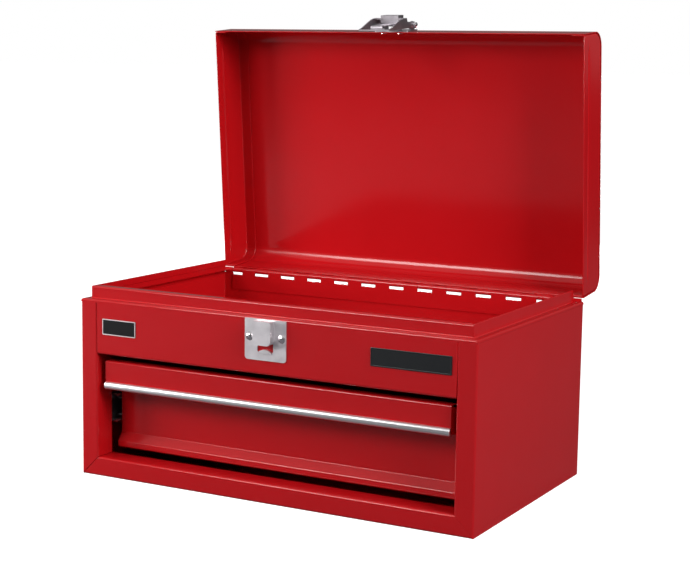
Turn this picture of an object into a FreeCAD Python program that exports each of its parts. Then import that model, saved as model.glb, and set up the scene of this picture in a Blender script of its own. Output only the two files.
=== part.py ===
import FreeCAD, Part
import math
import os
from FreeCAD import Vector

# Case: width along X, depth along Y with the front towards -Y, height along Z up to the ledge
case_width = 400.0
case_depth = 243.0
case_height = 166.0
sheet = 1.0
bend = 1.5
seam = 0.1
overrun = 5.0
stile_width = 18.0
stile_return = 22.0
rail_height = 18.0
rail_return = 22.0
fascia_height = 50.5
fascia_return = 12.0
shoulder_height = 3.0
ledge = 7.0
lip_height = 11.4
lip_return = 8.0
lip_hem = 6.0
lip_back_gap = 10.0
pan_flange = 15.0
tray_drop = 1.5
tray_flange = 15.0

# Piano hinge along the top of the back wall
hinge_end_inset = 11.5
knuckle_count = 24
knuckle_cut = 3.9
knuckle_radius = 2.5
knuckle_gap = 0.3
knuckle_clear = 0.6
knuckle_window = 2.3
leaf_height = 20.0
pin_radius = 1.5
pin_clearance = 0.05
wall_corner_gap = 0.5
wall_corner_top = 168.0
pin_end = 1.0
pin_behind_back = 0.5

# Lid, drawn closed and then turned open about the hinge pin
lid_height = 44.0
lid_overhang = 5.0
lid_side_inset = 0.5
lid_wall_clearance = 0.3
lid_rim_gap = 0.3
lid_bend = 15.0
lid_open_angle = 85.2
end_flange = 12.0
end_recess = 0.3
end_bead_height = 10.5
end_bead_radius = 1.2

# Drawer, hung under the fascia: a band along the top, a finger recess and a toe
drawer_side_gap = 6.0
drawer_top_gap = 6.5
drawer_bottom_gap = 5.4
drawer_set_back = 4.5
drawer_top_return = 9.0
drawer_back_gap = 10.0
drawer_side_drop = 11.0
drawer_hem = 8.0
band_height = 24.5
grip_roof_fall = 4.5
grip_depth = 30.0
grip_toe_depth = 24.0
grip_slope_rise = 7.9
toe_height = 5.7
toe_return = 12.0
trim_height = 7.0
trim_drop = 2.0
trim_round = 2.4
trim_end_inset = 0.4

# Ball runners: each is a case member, a drawer member and a cage of balls between them
runner_half = 13.5
runner_depth = 9.5
runner_front_gap = 2.0
runner_back_gap = 4.0
runner_sheet = 1.0
runner_lip = 1.2
race_half = 8.5
race_depth = 5.4
ball_clearance = 0.05
ball_inset = 4.3
ball_count = 5
cage_end_gap = 3.2
runner_overlap = 56.5
cage_sheet = 0.8
cage_slot_clearance = 0.1
cage_web_gap = 1.2
cage_edge_gap = 1.2
runner_drawer_gap = 1.5
bracket_half = 15.0
bracket_foot = 9.0

# Keeper plate on the fascia, with a raised box that the catch hooks under
keeper_width = 41.8
keeper_height = 36.3
keeper_drop = 1.5
keeper_sheet = 1.0
keeper_corner = 3.0
keeper_box_width = 18.0
keeper_box_height = 21.0
keeper_box_drop = 2.5
keeper_box_depth = 6.9
keeper_box_sheet = 1.2
keeper_box_corner = 4.0
keeper_slot_width = 16.0
keeper_slot_height = 7.0
keeper_slot_corner = 1.5
keeper_ramp_half = 6.5
keeper_ramp_height = 2.6
keeper_ramp_rise = 1.2
rivet_spread = 16.2
rivet_drop = 17.5
rivet_radius = 3.8
rivet_dome = 1.6
rivet_shank = 1.6
rivet_tail = 0.9

# Catch on the lid: heights run up from the lid rim, reaches run out from the lid's front wall
latch_plate_width = 36.0
latch_plate_low = 4.0
latch_plate_high = 28.0
latch_plate_sheet = 1.2
latch_plate_corner = 2.0
latch_pin_height = 21.5
latch_pin_reach = 5.5
latch_pin_radius = 1.5
latch_pin_head_radius = 2.8
latch_pin_head = 2.6
latch_pin_dome = 0.9
latch_pin_clearance = 0.05
lug_inner = 13.4
lug_sheet = 1.2
lug_radius = 4.0
lug_foot = 9.0
lever_sheet = 1.2
lever_gap = 0.6
lever_tip_drop = 31.0
lever_tip_reach = 3.2
lever_strip_length = 3.5
lever_crest_low = 1.2
lever_crest_high = 6.5
lever_crest_reach = 13.2
lever_arch_shares = [(0.2, 0.18), (0.52, 0.6), (0.75, 0.87), (0.9, 0.97)]
lever_neck_height = 8.2
lever_neck_reach = 9.0
lever_eye_radius = 3.6
lever_web_end = 18.0
lever_web_bend = 0.8
thumb_half = 9.5
thumb_low = 2.0
thumb_high = 13.0
thumb_top_reach = 15.8
thumb_low_reach = 8.1
thumb_corner = 2.8
hook_width = 12.5
hook_sheet = 1.2
hook_gap = 1.3
hook_lip_reach = 3.1
hook_bend = 1.2
hook_foot_height = 17.0
latch_rivet_height = 8.0
latch_rivet_half = 9.0
latch_rivet_radius = 2.3
latch_rivet_dome = 0.9

# Carrying handle on the lid: a bail of round rod in two saddle brackets
handle_half_span = 60.0
bracket_length = 14.0
bracket_plate = 24.0
bracket_plate_width = 22.0
bracket_sheet = 1.5
bracket_corner = 3.0
handle_rod_radius = 3.5
handle_rod_clearance = 0.08
handle_lift = 5.8
saddle_wall = 1.6
bail_shoulder_gap = 1.5
bail_length = 36.0
bail_bend = 9.0
bail_end_inset = 0.5

# Bare name plates on the fascia
badge_sheet = 0.8
badge_corner = 0.8
badge_left_width = 37.0
badge_left_height = 14.8
badge_left_drop = 17.0
badge_left_inset = 24.6
badge_right_width = 75.0
badge_right_height = 16.0
badge_right_drop = 15.3
badge_right_inset = 22.3

# Lines that several pieces share
half_width = case_width / 2
front = -case_depth / 2
back = case_depth / 2
wall_top = case_height - shoulder_height
fascia_bottom = case_height - fascia_height
lip_top = case_height + lip_height
tray_floor = fascia_bottom + tray_drop
opening_half = half_width - stile_width
hinge_length = case_width - 2 * hinge_end_inset
pin_y = back + pin_behind_back
pin_z = case_height
notch_low = pin_z - knuckle_radius - knuckle_window
rim = case_height + lid_rim_gap
lid_top = rim + lid_height
lid_front = front - lid_overhang
lid_back = pin_y - knuckle_radius - lid_wall_clearance
lid_half = half_width - lid_side_inset
drawer_half = opening_half - drawer_side_gap
drawer_top = fascia_bottom - drawer_top_gap
drawer_bottom = rail_height + drawer_bottom_gap
drawer_side_top = drawer_top - drawer_side_drop
drawer_back = back - sheet - drawer_back_gap
grip_lip_height = drawer_top - band_height
grip_roof_height = grip_lip_height - grip_roof_fall
grip_toe_height = drawer_bottom + toe_height
grip_bend_height = grip_toe_height + grip_slope_rise
runner_height = (drawer_bottom + drawer_side_top) / 2
runner_front = front + stile_return + runner_front_gap
runner_back = back - sheet - runner_back_gap
drawer_runner_back = drawer_back - runner_drawer_gap
drawer_travel = drawer_runner_back - runner_front - runner_overlap
cage_length = runner_overlap - 2 * cage_end_gap
cage_front = runner_front + cage_end_gap + drawer_travel / 2
runner_case_half = drawer_half + runner_depth
ball_radius = (runner_half - runner_sheet - race_half) / 2 - ball_clearance
ball_x = drawer_half + ball_inset
lever_half = lug_inner + lug_sheet + lever_gap


def strip(points, radius, thickness, plane, start, length):
    """Bent sheet: its middle line runs through the points, each corner an arc of the radius."""
    last = len(points) - 1
    units = []
    for a, b in zip(points[:-1], points[1:]):
        size = math.hypot(b[0] - a[0], b[1] - a[1])
        units.append(((b[0] - a[0]) / size, (b[1] - a[1]) / size))

    def lift(u, v):
        if plane == "yz":
            return Vector(start, u, v)
        if plane == "xz":
            return Vector(u, start, v)
        return Vector(u, v, start)

    def side(offset):
        edges = []
        here = (points[0][0] - units[0][1] * offset, points[0][1] + units[0][0] * offset)
        for i in range(1, last):
            d1, d2, p = units[i - 1], units[i], points[i]
            turn = math.atan2(d1[0] * d2[1] - d1[1] * d2[0], d1[0] * d2[0] + d1[1] * d2[1])
            sign = math.copysign(1, turn)
            reach = radius * math.tan(abs(turn) / 2)
            t1 = (p[0] - d1[0] * reach - d1[1] * offset, p[1] - d1[1] * reach + d1[0] * offset)
            t2 = (p[0] + d2[0] * reach - d2[1] * offset, p[1] + d2[1] * reach + d2[0] * offset)
            cx = p[0] - d1[0] * reach - d1[1] * sign * radius
            cy = p[1] - d1[1] * reach + d1[0] * sign * radius
            out = math.hypot(p[0] - cx, p[1] - cy)
            arm = (radius - sign * offset) / out
            mid = (cx + (p[0] - cx) * arm, cy + (p[1] - cy) * arm)
            edges.append(Part.LineSegment(lift(*here), lift(*t1)).toShape())
            edges.append(Part.Arc(lift(*t1), lift(*mid), lift(*t2)).toShape())
            here = t2
        end = (points[last][0] - units[-1][1] * offset, points[last][1] + units[-1][0] * offset)
        edges.append(Part.LineSegment(lift(*here), lift(*end)).toShape())
        return edges

    left, right = side(thickness / 2), side(-thickness / 2)
    head = Part.LineSegment(left[-1].Vertexes[-1].Point, right[-1].Vertexes[-1].Point).toShape()
    tail = Part.LineSegment(right[0].Vertexes[0].Point, left[0].Vertexes[0].Point).toShape()
    wire = Part.Wire(Part.__sortEdges__(left + [head] + right + [tail]))
    push = {"yz": Vector(length, 0, 0), "xz": Vector(0, length, 0), "xy": Vector(0, 0, length)}
    return Part.Face(wire).extrude(push[plane])


def block(x0, x1, y0, y1, z0, z1):
    """Box between two corners."""
    return Part.makeBox(x1 - x0, y1 - y0, z1 - z0, Vector(x0, y0, z0))


def prism(points, push):
    """Flat polygon pushed along a vector."""
    wire = Part.makePolygon([Vector(*p) for p in points] + [Vector(*points[0])])
    return Part.Face(wire).extrude(Vector(*push))


def mirrored(shape):
    """The same piece on the other side of the box."""
    return shape.mirror(Vector(0, 0, 0), Vector(1, 0, 0))


def fuse(shapes):
    """One solid from overlapping or touching solids."""
    whole = shapes[0].multiFuse(shapes[1:]) if len(shapes) > 1 else shapes[0]
    return whole.removeSplitter()


def rounded(shape, radius, direction):
    """Round the straight edges that run along one axis."""
    picked = []
    for edge in shape.Edges:
        a, b = edge.Vertexes[0].Point, edge.Vertexes[-1].Point
        if abs((b - a).dot(direction)) > (b - a).Length * straight_share:
            picked.append(edge)
    return shape.makeFillet(radius, picked)


straight_share = 0.999


def rounded_pan(shape, radius, floor):
    """Round the upright corners of a block and the edges round its floor."""
    picked = []
    for edge in shape.Edges:
        upright = edge.BoundBox.ZLength > radius
        low = edge.BoundBox.ZMax < floor + seam
        if upright or low:
            picked.append(edge)
    return shape.makeFillet(radius, picked)


def corner_off(x, y, radius, height):
    """What is cut away to round an upright corner of a pan, whose place is given from its middle."""
    inner_x, inner_y = x - math.copysign(radius, x), y - math.copysign(radius, y)
    far_x, far_y = x + math.copysign(overrun, x), y + math.copysign(overrun, y)
    piece = block(*sorted((inner_x, far_x)), *sorted((inner_y, far_y)), -overrun, height + overrun)
    rod = Part.makeCylinder(radius, height + 2 * overrun, Vector(inner_x, inner_y, -overrun))
    return piece.cut(rod)


def opened(shape):
    """Turn a lid piece from its closed place to where the open lid rests."""
    turned = shape.copy()
    turned.rotate(Vector(0, pin_y, pin_z), Vector(1, 0, 0), -lid_open_angle)
    return turned


def corner_wedge(sign, keep_front):
    """Upright wedge at a front top corner, on one side of the mitre line across the ledge."""
    reach = ledge + lip_return + overrun
    x_out, x_in = sign * (half_width + overrun), sign * (half_width - reach)
    low, far = front - overrun, front + reach
    third = (x_out, far, wall_top) if keep_front else (x_in, low, wall_top)
    return prism([(x_out, low, wall_top), (x_in, far, wall_top), third], (0, 0, lip_top))


def side_top(sign):
    """Ledge and lip along one side, bent from the top of the side wall."""
    out, inn = half_width - sheet / 2, half_width - ledge - sheet / 2
    level = case_height - sheet / 2
    line = [(sign * out, wall_top), (sign * out, level), (sign * inn, level), (sign * inn, lip_top)]
    shape = strip(line, bend, sheet, "xz", front, case_depth)
    inner = inn - sheet / 2
    near, far = sorted((sign * inner, sign * (inner - sheet)))
    hem = block(near, far, front, back, lip_top - lip_hem, lip_top)
    shape = fuse([shape, hem])
    across = sorted((0, sign * (half_width - ledge + bend)))
    shape = shape.cut(block(*across, back - lip_back_gap, back + overrun, case_height, lip_top + overrun))
    return shape.cut(corner_wedge(sign, False))


def rail_wedge(sign, below):
    """Wedge at a bottom front corner, on one side of the mitre between stile and rail."""
    depth = stile_return + overrun
    inner = opening_half - overrun
    start = half_width - sheet
    low, high = (sheet, half_width - inner)
    third = (sign * inner, front - overrun, sheet) if below else (sign * start, front - overrun, high)
    pair = [(sign * start, front - overrun, low), (sign * inner, front - overrun, high)]
    return prism(pair + [third], (0, depth + overrun, 0))


def case_wrap():
    """Sides, back and front stiles, bent from one sheet, with the ledge and lip on each side."""
    x_in, x_out = opening_half + sheet / 2, half_width - sheet / 2
    y_front, y_back = front + sheet / 2, back - sheet / 2
    line = [(-x_in, front + stile_return), (-x_in, y_front), (-x_out, y_front), (-x_out, y_back)]
    line += [(-x, y) for x, y in reversed(line)]
    walls = strip(line, bend, sheet, "xy", 0, wall_top)
    inner = opening_half - overrun
    for sign in (-1, 1):
        across = sorted((sign * inner, sign * (half_width - sheet - bend)))
        deep = front + stile_return + overrun
        walls = walls.cut(block(*across, front + sheet, deep, fascia_bottom, case_height))
        walls = walls.cut(rail_wedge(sign, True))
        under = sorted((sign * inner, sign * (half_width - sheet)))
        walls = walls.cut(block(*under, front - overrun, front + stile_return + overrun, -overrun, sheet))
    end = hinge_length / 2
    walls = walls.cut(block(-end, end, back - sheet - bend, back + overrun, notch_low, case_height))
    rear = (back - sheet, back, wall_top - overrun, wall_corner_top)
    tabs = [block(*sorted((sign * (end + wall_corner_gap), sign * (half_width - ledge + sheet))), *rear)
            for sign in (-1, 1)]
    return fuse([walls, side_top(-1), side_top(1)] + tabs)


def front_fascia():
    """Panel over the drawer, bent back as a ledge, up as a lip and in along the lip's top."""
    y_face, y_lip = front + sheet / 2, front + ledge + sheet / 2
    level, crown = case_height - sheet / 2, lip_top - sheet / 2
    top = [(y_face, level), (y_lip, level), (y_lip, crown), (front + ledge + lip_return, crown)]
    low = fascia_bottom + sheet / 2
    half = opening_half - seam
    face = strip([(front + fascia_return, low), (y_face, low)] + top, bend, sheet, "yz", -half, 2 * half)
    crest = strip([(y_face, wall_top)] + top, bend, sheet, "yz", -half_width, case_width)
    return fuse([face, crest]).cut(corner_wedge(-1, True)).cut(corner_wedge(1, True))


def base_pan():
    """Bottom with its front rail, bent up inside the walls."""
    half = half_width - sheet - seam
    y_face, y_end = front + sheet / 2, back - sheet - seam - sheet / 2
    level = rail_height - sheet / 2
    line = [(front + rail_return, level), (y_face, level), (y_face, sheet / 2), (y_end, sheet / 2)]
    shape = strip(line + [(y_end, pan_flange)], bend, sheet, "yz", -half, 2 * half)
    for sign in (-1, 1):
        across = sorted((sign * half, sign * (half - sheet)))
        wing = block(*across, front + stile_return + overrun, y_end, 0, pan_flange)
        shape = fuse([shape.cut(rail_wedge(sign, False)), wing])
        shape = shape.cut(corner_off(sign * half, y_end + sheet / 2, bend + sheet / 2, pan_flange))
    return shape


def top_tray():
    """Floor of the upper compartment, a shallow pan welded inside the walls."""
    half = half_width - sheet - seam
    y0, y1 = front + sheet + seam, back - sheet - seam
    top = tray_floor + tray_flange
    outer = block(-half, half, y0, y1, tray_floor, top)
    outer = rounded_pan(outer, bend + sheet / 2, tray_floor)
    inner = block(-half + sheet, half - sheet, y0 + sheet, y1 - sheet, tray_floor + sheet, top + overrun)
    return outer.cut(rounded_pan(inner, bend - sheet / 2, tray_floor + sheet))


def knuckles(first):
    """Start and end of every second knuckle, the strip cut to length through its first and last one."""
    pitch = hinge_length / knuckle_count
    end = hinge_length / 2
    starts = [i * pitch - end - knuckle_cut for i in range(first, knuckle_count + 1, 2)]
    spans = [(max(s, -end), min(s + pitch, end)) for s in starts]
    return [(x0 + knuckle_gap / 2, x1 - knuckle_gap / 2) for x0, x1 in spans]


def hinge_leaf(first, leaf_front, up, room):
    """Leaf with its rolled knuckles, cut away with some room where the other leaf's knuckles turn."""
    bore = pin_radius + pin_clearance
    far = pin_z + up * leaf_height
    low, high = sorted((pin_z, far))
    leaf = block(-hinge_length / 2, hinge_length / 2, leaf_front, leaf_front + sheet, low, high)
    clear = knuckle_radius + room
    slots = []
    for x0, x1 in knuckles(1 - first):
        z0, z1 = sorted((pin_z - up * overrun, pin_z + up * clear))
        span = (x0 - knuckle_gap, x1 + knuckle_gap)
        slots.append(block(*span, leaf_front - overrun, pin_y + overrun, z0, z1))
    leaf = leaf.cut(Part.makeCompound(slots))
    rolls = []
    for x0, x1 in knuckles(first):
        rolls.append(Part.makeCylinder(knuckle_radius, x1 - x0, Vector(x0, pin_y, pin_z), Vector(1, 0, 0)))
    reach = hinge_length + 2 * overrun
    start = Vector(-reach / 2, pin_y, pin_z)
    return fuse([leaf] + rolls).cut(Part.makeCylinder(bore, reach, start, Vector(1, 0, 0)))


def hinge_pin():
    """Round wire pin through every knuckle, its ends domed over."""
    length = hinge_length + 2 * pin_end
    start = Vector(-length / 2, pin_y, pin_z)
    pin = Part.makeCylinder(pin_radius, length, start, Vector(1, 0, 0))
    return pin.makeChamfer(pin_end / 2, [pin.Edges[0], pin.Edges[2]])


def runner_bracket():
    """Channel that carries a runner off the side wall (right-hand side)."""
    wall = half_width - sheet - sheet / 2
    web = runner_case_half + sheet / 2
    low, high = runner_height - bracket_half, runner_height + bracket_half
    line = [(wall, low - bracket_foot), (wall, low), (web, low), (web, high)]
    line += [(wall, high), (wall, high + bracket_foot)]
    return strip(line, bend, sheet, "xz", runner_front, runner_back - runner_front)


def runner_case():
    """Outer runner member: a channel open towards the drawer, with a small lip on each edge."""
    web = runner_case_half - runner_sheet / 2
    edge = drawer_half + cage_edge_gap + runner_sheet / 2
    high = runner_half - runner_sheet / 2
    lip = runner_half - runner_sheet - runner_lip
    zc = runner_height
    line = [(edge, zc - lip), (edge, zc - high), (web, zc - high), (web, zc + high)]
    line += [(edge, zc + high), (edge, zc + lip)]
    inner_bend = runner_sheet / 2 + seam
    return strip(line, inner_bend, runner_sheet, "xz", runner_front, runner_back - runner_front)


def runner_drawer():
    """Inner runner member on the drawer's side, a channel open towards the case."""
    web, edge = drawer_half + runner_sheet / 2, drawer_half + race_depth
    high = race_half - runner_sheet / 2
    zc = runner_height
    line = [(edge, zc - high), (web, zc - high), (web, zc + high), (edge, zc + high)]
    y0 = front + grip_depth + runner_drawer_gap
    return strip(line, bend, runner_sheet, "xz", y0, drawer_runner_back - y0)


def ball_cage():
    """Folded strip that keeps the balls apart, with a slot for each ball."""
    middle = (race_half + runner_half - runner_sheet) / 2
    web = drawer_half + race_depth + cage_web_gap + cage_sheet / 2
    edge = drawer_half + cage_edge_gap
    zc = runner_height
    line = [(edge, zc - middle), (web, zc - middle), (web, zc + middle), (edge, zc + middle)]
    shape = strip(line, cage_sheet / 2 + seam, cage_sheet, "xz", cage_front, cage_length)
    hole = ball_radius + cage_slot_clearance
    for level in (zc - middle, zc + middle):
        for y in ball_places():
            rod = Part.makeCylinder(hole, 2 * cage_sheet, Vector(ball_x, y, level - cage_sheet))
            thick = (level - cage_sheet, level + cage_sheet)
            mouth = block(edge - overrun, ball_x, y - hole, y + hole, *thick)
            shape = shape.cut(rod).cut(mouth)
    return shape


def ball_places():
    """Places along the runner of the balls in one row."""
    pitch = cage_length / ball_count
    return [cage_front + pitch / 2 + i * pitch for i in range(ball_count)]


def runner_balls():
    """Two rows of steel balls, above and below the drawer's runner member."""
    middle = (race_half + runner_half - runner_sheet) / 2
    balls = []
    for level in (runner_height - middle, runner_height + middle):
        for y in ball_places():
            balls.append(Part.makeSphere(ball_radius, Vector(ball_x, y, level)))
    return Part.makeCompound(balls)


def keeper_plate():
    """Plate on the fascia with a slot and, above it, a raised box that is open below."""
    top = case_height - keeper_drop
    half, low = keeper_width / 2, case_height - keeper_drop - keeper_height
    plate = block(-half, half, front - keeper_sheet, front, low, case_height + keeper_corner)
    plate = rounded(plate, keeper_corner, Vector(0, 1, 0))
    plate = plate.common(block(-half, half, front - keeper_sheet, front, low, top))
    box_top = case_height - keeper_box_drop
    box_low = box_top - keeper_box_height
    face = front - keeper_sheet - keeper_box_depth
    bh = keeper_box_width / 2
    shell = block(-bh, bh, face, front, box_low, box_top)
    low_edges = [e for e in shell.Edges if abs(e.BoundBox.ZMax - box_low) < seam]
    shell = shell.makeFillet(keeper_box_corner, [e for e in low_edges if e.BoundBox.YLength > sheet])
    wall = keeper_box_sheet
    hollow = block(-bh + wall, bh - wall, face + wall, front + overrun, box_low - overrun, box_top - wall)
    sh = keeper_slot_width / 2
    through = (front - keeper_sheet - overrun, front + overrun)
    slot_top, slot_low = box_low + keeper_slot_corner, box_low - keeper_slot_height
    slot = block(-sh, sh, *through, slot_low, slot_top)
    slot = rounded(slot, keeper_slot_corner, Vector(0, 1, 0))
    behind = block(-bh + wall, bh - wall, *through, box_low, box_top - wall)
    return fuse([plate.cut(slot).cut(behind), shell.cut(hollow), keeper_ramp(slot_low)])


def keeper_ramp(slot_low):
    """Pressed ramp with an arched top that stands on the lower edge of the keeper's slot."""
    half, high = keeper_ramp_half, keeper_ramp_height
    arch = (half * half + high * high) / (2 * high)
    face = front - keeper_sheet - keeper_ramp_rise
    foot = Vector(0, face, slot_low + high - arch)
    disc = Part.makeCylinder(arch, front - face, foot, Vector(0, 1, 0))
    return disc.common(block(-half, half, face, front, slot_low - keeper_sheet, slot_low + high))


def dome(radius, height, foot, axis):
    """Low round head: the cap of a ball that stands on a flat face."""
    ball = (radius * radius + height * height) / (2 * height)
    centre = foot - axis * (ball - height)
    cut = Part.makeCylinder(radius + height, height, foot, axis)
    return Part.makeSphere(ball, centre).common(cut)


def rivet(x, face, z, radius, height, grip):
    """Rivet through a grip of sheet behind a face: domed head, shank and flat tail, turned."""
    ball = (radius * radius + height * height) / (2 * height)
    rise = math.sqrt(ball * ball - radius * radius / 4) - ball
    top, rim_point = Vector(x, face - height, z), Vector(x + radius, face, z)
    side = Vector(x + radius / 2, face - height - rise, z)
    inside, end = face + grip, face + grip + rivet_tail
    corners = [(radius, face), (rivet_shank, face), (rivet_shank, inside), (rivet_radius, inside)]
    corners += [(rivet_radius, end), (0, end), (0, face - height)]
    edges = [Part.Arc(top, side, rim_point).toShape()]
    for a, b in zip(corners[:-1], corners[1:]):
        edges.append(Part.LineSegment(Vector(x + a[0], a[1], z), Vector(x + b[0], b[1], z)).toShape())
    return Part.Face(Part.Wire(edges)).revolve(Vector(x, face, z), Vector(0, 1, 0), 360)


def keeper_rivets():
    """Two rivets through the keeper plate and the fascia."""
    z, face = case_height - rivet_drop, front - keeper_sheet
    size = (rivet_radius, rivet_dome, keeper_sheet + sheet)
    return Part.makeCompound([rivet(x, face, z, *size) for x in (-rivet_spread, rivet_spread)])


def drilled(shape, radius, places, axis, length):
    """The piece with a round hole at each place."""
    for place in places:
        start = Vector(*place) - axis * (length / 2)
        shape = shape.cut(Part.makeCylinder(radius, length, start, axis))
    return shape


def badge(x0, width, height, drop):
    """Bare plate with rounded corners, stuck to the fascia."""
    top = case_height - drop
    plate = block(x0, x0 + width, front - badge_sheet, front, top - height, top)
    return rounded(plate, badge_corner, Vector(0, 1, 0))


def drawer_pan():
    """Bottom, sides and back of the drawer, folded from one sheet with hemmed edges."""
    y0 = front + grip_depth + sheet / 2
    low = drawer_bottom + sheet
    floor = block(-drawer_half, drawer_half, y0, drawer_back, low, low + sheet)
    rear = block(-drawer_half, drawer_half, drawer_back - sheet, drawer_back, low, drawer_side_top)
    pieces = [floor, rear]
    hem_low = drawer_side_top - drawer_hem
    folded = (drawer_back - 2 * sheet, drawer_back, hem_low, drawer_side_top)
    pieces.append(block(-drawer_half, drawer_half, *folded))
    for sign in (-1, 1):
        across = sorted((sign * drawer_half, sign * (drawer_half - sheet)))
        pieces.append(block(*across, y0, drawer_back, low, drawer_side_top))
        across = sorted((sign * drawer_half, sign * (drawer_half - 2 * sheet)))
        pieces.append(block(*across, y0, drawer_back, hem_low, drawer_side_top))
    return fuse(pieces)


def drawer_front():
    """Front of the drawer: a band along the top, then a full-width finger recess."""
    y_face = front + drawer_set_back + sheet / 2
    y_deep = front + grip_depth
    y_toe = front + grip_toe_depth
    toe = drawer_bottom + sheet / 2
    crown = drawer_top - sheet / 2
    line = [(y_face + drawer_top_return, crown), (y_face, crown), (y_face, grip_lip_height)]
    line += [(y_deep, grip_roof_height), (y_deep, grip_bend_height), (y_toe, grip_toe_height)]
    line += [(y_toe, toe), (y_toe + toe_return, toe)]
    shape = strip(line, bend, sheet, "yz", -drawer_half, 2 * drawer_half)
    ears = []
    for x in (-drawer_half, drawer_half - sheet):
        rear = y_deep + sheet / 2
        outline = [(x, y_face, grip_lip_height), (x, y_face, crown), (x, rear, drawer_side_top)]
        ears.append(prism(outline + [(x, rear, grip_roof_height)], (sheet, 0, 0)))
    return fuse([shape] + ears)


def drawer_trim():
    """Bright rounded strip along the lower edge of the drawer's band."""
    half = drawer_half - trim_end_inset
    trim_depth = drawer_set_back - bend
    y0 = front + drawer_set_back - trim_depth
    low = grip_lip_height - trim_drop
    bar = block(-half, half, y0, y0 + trim_depth, low, low + trim_height)
    nose = [e for e in bar.Edges if abs(e.BoundBox.YMax - y0) < seam and e.BoundBox.XLength > half]
    return bar.makeFillet(trim_round, nose)


def lid_wrap():
    """Front, top and back of the lid, one sheet with two wide bends."""
    y0, y1 = lid_front + sheet / 2, lid_back - sheet / 2
    top = lid_top - sheet / 2
    line = [(y0, rim), (y0, top), (y1, top), (y1, rim)]
    return strip(line, lid_bend - sheet / 2, sheet, "yz", -lid_half, 2 * lid_half)


def lid_outline(x, inset):
    """Closed outline of the lid's end, drawn in by an inset from its outer face."""
    y0, y1 = lid_front + inset, lid_back - inset
    top, r = lid_top - inset, lid_bend - inset
    knee = r * (1 - math.sqrt(2) / 2)
    arc0 = Part.Arc(Vector(x, y0, top - r), Vector(x, y0 + knee, top - knee), Vector(x, y0 + r, top))
    arc1 = Part.Arc(Vector(x, y1 - r, top), Vector(x, y1 - knee, top - knee), Vector(x, y1, top - r))
    edges = [Part.LineSegment(Vector(x, y0, rim), Vector(x, y0, top - r)), arc0]
    edges += [Part.LineSegment(Vector(x, y0 + r, top), Vector(x, y1 - r, top)), arc1]
    edges += [Part.LineSegment(Vector(x, y1, top - r), Vector(x, y1, rim))]
    edges += [Part.LineSegment(Vector(x, y1, rim), Vector(x, y0, rim))]
    return Part.Face(Part.Wire([e.toShape() for e in edges]))


def lid_end():
    """End cap of the lid (right-hand side): a plate with a flange welded inside the wrap."""
    outer, inner = sheet + seam, 2 * sheet + seam
    x_out = lid_half - end_recess
    plate = lid_outline(x_out - sheet, outer).extrude(Vector(sheet, 0, 0))
    ring = lid_outline(x_out - end_flange, outer).extrude(Vector(end_flange - sheet / 2, 0, 0))
    core = lid_outline(x_out - end_flange - overrun, inner)
    core = core.extrude(Vector(end_flange + overrun - sheet, 0, 0))
    y0, y1 = lid_front + inner, lid_back - inner
    mouth = block(x_out - end_flange - overrun, x_out - sheet, y0, y1, rim - overrun, rim + overrun)
    ring = ring.cut(core).cut(mouth)
    bead_start = Vector(x_out - sheet / 2, lid_front + lid_bend, rim + end_bead_height)
    bead_length = lid_back - lid_front - 2 * lid_bend
    bead = Part.makeCylinder(end_bead_radius, bead_length, bead_start, Vector(0, 1, 0))
    return fuse([plate, ring, bead])


def latch_point(height, reach):
    """Y and Z of a place on the catch: height above the lid rim, reach out from the front wall."""
    return lid_front - reach, rim + height


def latch_plate():
    """Fixed plate of the catch with two lugs for the pivot pin."""
    half = latch_plate_width / 2
    y0, z0 = latch_point(latch_plate_low, latch_plate_sheet)
    plate = block(-half, half, y0, lid_front, z0, rim + latch_plate_high)
    plate = rounded(plate, latch_plate_corner, Vector(0, 1, 0))
    py, pz = latch_point(latch_pin_height, latch_pin_reach)
    pieces = [plate]
    for x in (-lug_inner - lug_sheet, lug_inner):
        eye = Part.makeCylinder(lug_radius, lug_sheet, Vector(x, py, pz), Vector(1, 0, 0))
        foot = block(x, x + lug_sheet, py, lid_front, pz - lug_foot / 2, pz + lug_foot / 2)
        pieces += [eye, foot]
    bore = latch_pin_radius + latch_pin_clearance
    return drilled(fuse(pieces), bore, [(0, py, pz)], Vector(1, 0, 0), latch_plate_width)


def latch_pin():
    """Pivot pin of the catch, with a thick end outside each cheek of the lever."""
    py, pz = latch_point(latch_pin_height, latch_pin_reach)
    half = lever_half + lever_sheet + seam
    far = half + latch_pin_head
    pieces = [Part.makeCylinder(latch_pin_radius, 2 * half, Vector(-half, py, pz), Vector(1, 0, 0))]
    for sign in (-1, 1):
        way = Vector(sign, 0, 0)
        start = Vector(sign * half, py, pz)
        pieces.append(Part.makeCylinder(latch_pin_head_radius, latch_pin_head, start, way))
        pieces.append(dome(latch_pin_head_radius, latch_pin_dome, Vector(sign * far, py, pz), way))
    return fuse(pieces)


def latch_block(x0, x1, heights, reaches):
    """Box on the catch between two heights and two reaches."""
    y0, z0 = latch_point(heights[0], reaches[1])
    y1, z1 = latch_point(heights[1], reaches[0])
    return block(x0, x1, y0, y1, z0, z1)


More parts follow.
